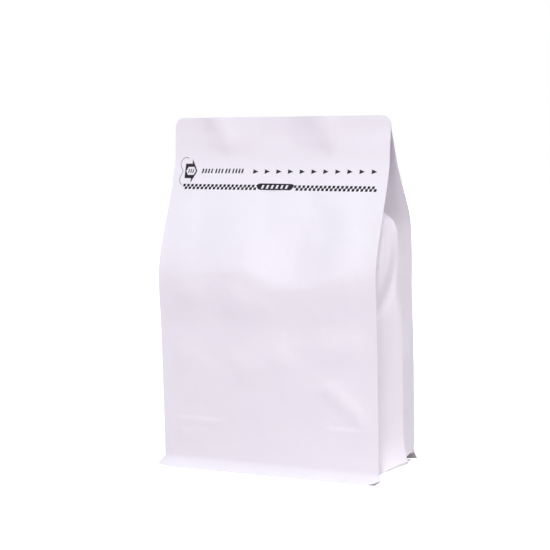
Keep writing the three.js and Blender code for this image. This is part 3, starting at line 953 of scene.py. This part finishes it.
def make_pointer_row(tree, sockets, ink):
    half = POINTER_TALL / 2
    mark = flat_mark("pointer_mark", [[(0, -half), (POINTER_WIDTH, 0), (0, half)]])
    start, step = (POINTER_FIRST, ROW_HEIGHT), (POINTER_PITCH, 0)
    row = MarkRow("pointer_row", POINTER_COUNT, start, step, NO_GAP)
    return print_row(tree, sockets, row, mark, ink)


def make_check_strip(tree, sockets, ink):
    size = (CHECK_WIDE, CHECK_TALL)
    upper = slanted_box(0, CHECK_TALL / 2, size, CHECK_SLANT)
    lower = slanted_box(CHECK_PITCH / 2, -CHECK_TALL / 2, size, CHECK_SLANT)
    mark = flat_mark("check_mark", [upper, lower])
    run, fall = STRIP_END[0] - STRIP_START[0], STRIP_END[1] - STRIP_START[1]
    count = round(run / CHECK_PITCH)
    skip = (LABEL_SKIP[0] - CHECK_PITCH, LABEL_SKIP[1])
    row = MarkRow("check_strip", count, STRIP_START, (run / count, fall / count), skip)
    return print_row(tree, sockets, row, mark, ink)


def make_label():
    strokes = leaning_strokes(LABEL_STROKES, LABEL_SLANT)
    return draped_print("strip_label", [list(LABEL_OUTLINE)] + strokes)


def make_pull_arrow():
    left, right = ARROW_SHAFT
    upper = [
        (left, ARROW_SHAFT_HALF),
        (right, ARROW_SHAFT_HALF),
        (right, ARROW_BARB_HALF),
        (ARROW_TIP, 0),
    ]
    lower = [(x, -z) for x, z in reversed(upper[:-1])]
    far_left, top_left, top_right, far_right = WINDOW_ENDS
    window = [
        (far_left, 0), (top_left, WINDOW_HALF), (top_right, WINDOW_HALF),
        (far_right, 0), (top_right, -WINDOW_HALF), (top_left, -WINDOW_HALF),
    ]
    outlines = [[(x, z + ARROW_MIDDLE) for x, z in shape] for shape in (upper + lower, window)]
    return draped_print("pull_arrow", outlines)


def make_hatch():
    """Groups of short leaning strokes beside the arrow, and three in its window."""
    strokes = [stroke for row in STROKE_ROWS for stroke in leaning_strokes(row, STROKE_SLANT)]
    return draped_print("hatch_marks", strokes)


def make_tab_cut():
    """The thin cut line of the tab, as a ribbon along its curve that carries the painted shade of
    the cut's groove.
    """
    at = np.linspace(0, len(TAB_CUT) - 1, (len(TAB_CUT) - 1) * TAB_CUT_SAMPLES + 1)
    x = curve_through([(i, p[0]) for i, p in enumerate(TAB_CUT)], at)
    z = curve_through([(i, p[1]) for i, p in enumerate(TAB_CUT)], at)
    run = np.stack([np.gradient(x), np.gradient(z)], axis=-1)
    run /= np.linalg.norm(run, axis=1)[:, None]
    aside = np.stack([-run[:, 1], run[:, 0]], axis=-1) * TAB_CUT_WIDTH / 2
    middle = np.stack([x, z], axis=-1)
    outline = np.concatenate([middle + aside, (middle - aside)[::-1]])
    return draped_print("tab_cut", [outline.tolist()], over=INK_OVER / 2)


# ---------------------------------------------------------------- materials

# Even noise in the film: size of its marks, how many finer layers it has, and the height of the
# unevenness that it makes, where it makes any
Grain = namedtuple("Grain", "size detail height")
CLOUDS = Grain(26.0, 3.0, None)
COCKLES = Grain(7.0, 2.0, 0.03)
FIBRES = Grain(0.9, 4.0, 0.012)
# the next grain speckles the painted shade on the tab's cut line
CUT_SHADE_SPECKLE = Grain(1.2, 2.0, None)
GRAIN_SPAN = (0.25, 0.75)  # nearly all of a noise lies between these values

WHITE_SHADE = (0.85, 0.828, 0.878)
WHITE_LIGHT = (0.87, 0.852, 0.90)
PAPER_ROUGHNESS = (0.46, 0.56)
INK_DARK = (0.004, 0.0035, 0.006)
INK_LIGHT = (0.008, 0.007, 0.011)
INK_ROUGHNESS = (0.42, 0.58)
# Grey tones of the tab's cut line: painted shade of its fine groove
CUT_SHADE_DARK = (0.26, 0.25, 0.29)
CUT_SHADE_LIGHT = (0.42, 0.41, 0.45)
CUT_ROUGHNESS = 0.6
SURFACE_SOCKETS = {"colour": "Base Color", "roughness": "Roughness", "skin": "Normal"}


def grain_noise(tree, grain):
    """The noise of a grain, which sits still in the film."""
    places = add_node(tree, "ShaderNodeTexCoord")
    texture = add_node(
        tree,
        "ShaderNodeTexNoise",
        {
            "Vector": places.outputs["Object"],
            "Scale": 1.0 / (grain.size * MM),
            "Detail": grain.detail,
        },
    )
    return texture.outputs["Fac"]


def between(tree, noise_value, low, high):
    """A value that runs from low to high over the span of a noise."""
    spread = add_node(
        tree,
        "ShaderNodeMapRange",
        {
            "Value": noise_value,
            "From Min": GRAIN_SPAN[0],
            "From Max": GRAIN_SPAN[1],
            "To Min": low,
            "To Max": high,
        },
    )
    return spread.outputs["Result"]


def two_tones(tree, noise_value, first, second):
    mix = add_node(tree, "ShaderNodeMix", data_type="RGBA")
    tree.links.new(between(tree, noise_value, 0.0, 1.0), mix.inputs["Factor"])
    colours = [socket for socket in mix.inputs if socket.type == "RGBA"]
    colours[0].default_value = (*first, 1)
    colours[1].default_value = (*second, 1)
    return next(socket for socket in mix.outputs if socket.type == "RGBA")


def unevenness(tree, noise_value, grain, under=None):
    """Fine relief of a grain, over the relief under it where there is one."""
    inputs = {"Height": noise_value, "Strength": 1.0, "Distance": grain.height * MM}
    if under:
        inputs["Normal"] = under
    return add_node(tree, "ShaderNodeBump", inputs).outputs["Normal"]


def new_material(name):
    material = bpy.data.materials.new(name)
    material.use_nodes = True
    return material, material.node_tree


def finish_surface(tree, **inputs):
    """Gives a material's surface its base colour, its roughness and, where it has one, its skin."""
    sockets = {SURFACE_SOCKETS[name]: value for name, value in inputs.items()}
    fill_inputs(tree, tree.nodes["Principled BSDF"], sockets)


def laminate_material():
    """Matt white paper under a thin clear film: faint clouds, fine fibres, a soft sheen."""
    material, tree = new_material("laminate")
    clouds, fibres, cockles = (grain_noise(tree, grain) for grain in (CLOUDS, FIBRES, COCKLES))
    colour = two_tones(tree, clouds, WHITE_SHADE, WHITE_LIGHT)
    roughness = between(tree, fibres, *PAPER_ROUGHNESS)
    skin = unevenness(tree, fibres, FIBRES, under=unevenness(tree, cockles, COCKLES))
    finish_surface(tree, colour=colour, roughness=roughness, skin=skin)
    return material


def ink_material():
    """Matt black ink that lets a little of the paper's grain through."""
    material, tree = new_material("ink")
    fibres = grain_noise(tree, FIBRES)
    colour = two_tones(tree, fibres, INK_DARK, INK_LIGHT)
    roughness = between(tree, fibres, *INK_ROUGHNESS)
    skin = unevenness(tree, fibres, FIBRES)
    finish_surface(tree, colour=colour, roughness=roughness, skin=skin)
    return material


def cut_shade_material():
    """Grey of the tab's real cut line: painted shade of its groove, which is too fine for the film's
    mesh, speckled along the line.
    """
    material, tree = new_material("cut_edge")
    colour = two_tones(tree, grain_noise(tree, CUT_SHADE_SPECKLE), CUT_SHADE_DARK, CUT_SHADE_LIGHT)
    finish_surface(tree, colour=colour, roughness=CUT_ROUGHNESS)
    return material


def dress(piece, material):
    if material.name not in piece.data.materials:
        piece.data.materials.append(material)
    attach(piece, "root")


ink = ink_material()
row_tree, row_sockets = print_row_tree()
printed = [
    make_pointer_row(row_tree, row_sockets, ink),
    make_check_strip(row_tree, row_sockets, ink),
    make_label(),
    make_pull_arrow(),
    make_hatch(),
]
for piece in printed:
    dress(piece, ink)
# The tab's cut line is a grey ribbon whose tone is painted shade of its groove
dress(make_tab_cut(), cut_shade_material())
dress(film, laminate_material())
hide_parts("pouch")

# ---------------------------------------------------------------- floor, light and camera

FLOOR_SIZE = 6000.0
FLOOR_COLOUR = (0.60, 0.56, 0.57, 1)
FLOOR_BOUNCE = 0.03  # light that the wide bright floor sends up, besides what its near part reflects
FLOOR_GLOW = 0.95  # the same where the camera looks at the floor, which the studio shows as white

# Soft boxes far away: degrees to the right of the front, degrees up, strength, colour
SoftBox = namedtuple("SoftBox", "name right up strength colour")
SOFT_BOXES = (
    SoftBox("front_box", 0, 15, 1.66, (1.0, 0.94, 1.0)),
    SoftBox("side_box", 90, 15, 0.62, (1.0, 0.95, 0.85)),
    SoftBox("back_box", 120, 45, 1.62, (0.93, 0.88, 1.0)),
    SoftBox("top_box", 0, 75, 1.7, (0.9, 0.97, 1.0)),
)
BOX_SPREAD = 30  # degrees across, as the pouch sees one

# The floor is in shade up to these distances from the middle: axis, all lit, all dark. To the
# camera its middle is lit too, where the side rims stand free.
SHADE_SPANS = (("X", 64.0, 62.5), ("Y", 31.5, 30.0))
SHADE_INNER_SPANS = (("Y", 20.0, 22.0),)


def camera_ray_mix(tree, others, camera):
    """One surface for the camera's own rays and another for all the others."""
    light_path = add_node(tree, "ShaderNodeLightPath")
    inputs = {0: light_path.outputs["Is Camera Ray"], 1: others, 2: camera}
    return add_node(tree, "ShaderNodeMixShader", inputs).outputs[0]


def lit_share(tree, distance, lit_from, dark_from):
    """How lit the floor is at a distance along one axis, from 0 to 1."""
    size = add_node(tree, "ShaderNodeMath", {0: distance}, operation="ABSOLUTE")
    share = add_node(
        tree,
        "ShaderNodeMapRange",
        {"Value": size.outputs[0], "From Min": dark_from * MM, "From Max": lit_from * MM},
        interpolation_type="SMOOTHSTEP",
    )
    return share.outputs[0]


def floor_glow(tree, strength, spans):
    """A glow that fades out in the shade under the pouch, which the spans of its axes bound."""
    places = add_node(tree, "ShaderNodeTexCoord")
    axes = add_node(tree, "ShaderNodeSeparateXYZ", {0: places.outputs["Object"]}).outputs
    shares = [lit_share(tree, axes[axis], lit, dark) for axis, lit, dark in spans]
    lit = shares[0]
    for share in shares[1:]:
        most = add_node(tree, "ShaderNodeMath", {0: lit, 1: share}, operation="MAXIMUM")
        lit = most.outputs[0]
    power = add_node(tree, "ShaderNodeMath", {0: lit, 1: strength}, operation="MULTIPLY")
    return add_node(tree, "ShaderNodeEmission", {"Strength": power.outputs[0]}).outputs[0]


def glowing_floor(tree, diffuse, strength, spans):
    glow = floor_glow(tree, strength, spans)
    return add_node(tree, "ShaderNodeAddShader", {0: diffuse, 1: glow}).outputs[0]


def make_floor():
    half = FLOOR_SIZE / 2
    corners = [(-half, -half, 0), (half, -half, 0), (half, half, 0), (-half, half, 0)]
    floor = mesh_object("floor", corners, [(0, 1, 2, 3)])
    material, tree = new_material("pale_floor")
    tree.nodes.clear()
    diffuse = add_node(tree, "ShaderNodeBsdfDiffuse", {"Color": FLOOR_COLOUR}).outputs[0]
    bouncing = glowing_floor(tree, diffuse, FLOOR_BOUNCE, SHADE_SPANS)
    seen = glowing_floor(tree, diffuse, FLOOR_GLOW, SHADE_SPANS + SHADE_INNER_SPANS)
    surface = camera_ray_mix(tree, bouncing, seen)
    add_node(tree, "ShaderNodeOutputMaterial", {"Surface": surface})
    floor.data.materials.append(material)


def make_world():
    """No light but the boxes', in front of a white backdrop."""
    world = bpy.data.worlds.new("studio")
    bpy.context.scene.world = world
    world.use_nodes = True
    tree = world.node_tree
    tree.nodes.clear()
    dark, white = (
        add_node(tree, "ShaderNodeBackground", {"Color": (tone, tone, tone, 1)}).outputs[0]
        for tone in (0, 1)
    )
    surface = camera_ray_mix(tree, dark, white)
    add_node(tree, "ShaderNodeOutputWorld", {"Surface": surface})


def make_light(box):
    light = bpy.data.lights.new(box.name, "SUN")
    light.angle = math.radians(BOX_SPREAD)
    light.energy = box.strength
    light.color = box.colour
    lamp = bpy.data.objects.new(box.name, light)
    right, up = math.radians(box.right), math.radians(box.up)
    level = math.cos(up)
    towards = Vector((math.sin(right) * level, -math.cos(right) * level, math.sin(up)))
    lamp.rotation_euler = towards.to_track_quat("Z", "Y").to_euler()
    bpy.context.scene.collection.objects.link(lamp)


make_floor()
make_world()
for box in SOFT_BOXES:
    make_light(box)

CAMERA_PLACE = (315.79, -725.54, 200.45)
CAMERA_YAW = math.radians(23.9995)
CAMERA_PITCH = math.radians(6.6028)
CAMERA_ROLL = math.radians(-0.9174)
FOCAL_PIXELS = 1405.3
IMAGE_PIXELS = 550
SENSOR = 36.0


def make_camera():
    data = bpy.data.cameras.new("camera")
    data.sensor_fit = "HORIZONTAL"
    data.sensor_width = SENSOR
    data.lens = FOCAL_PIXELS / IMAGE_PIXELS * SENSOR
    camera = bpy.data.objects.new("camera", data)
    bpy.context.scene.collection.objects.link(camera)
    yaw = Matrix.Rotation(CAMERA_YAW, 4, "Z")
    pitch = Matrix.Rotation(math.pi / 2 - CAMERA_PITCH, 4, "X")
    roll = Matrix.Rotation(CAMERA_ROLL, 4, "Z")
    camera.matrix_world = Matrix.Translation(Vector(CAMERA_PLACE) * MM) @ yaw @ pitch @ roll
    bpy.context.scene.camera = camera


make_camera()
bpy.context.scene.view_settings.view_transform = "Standard"
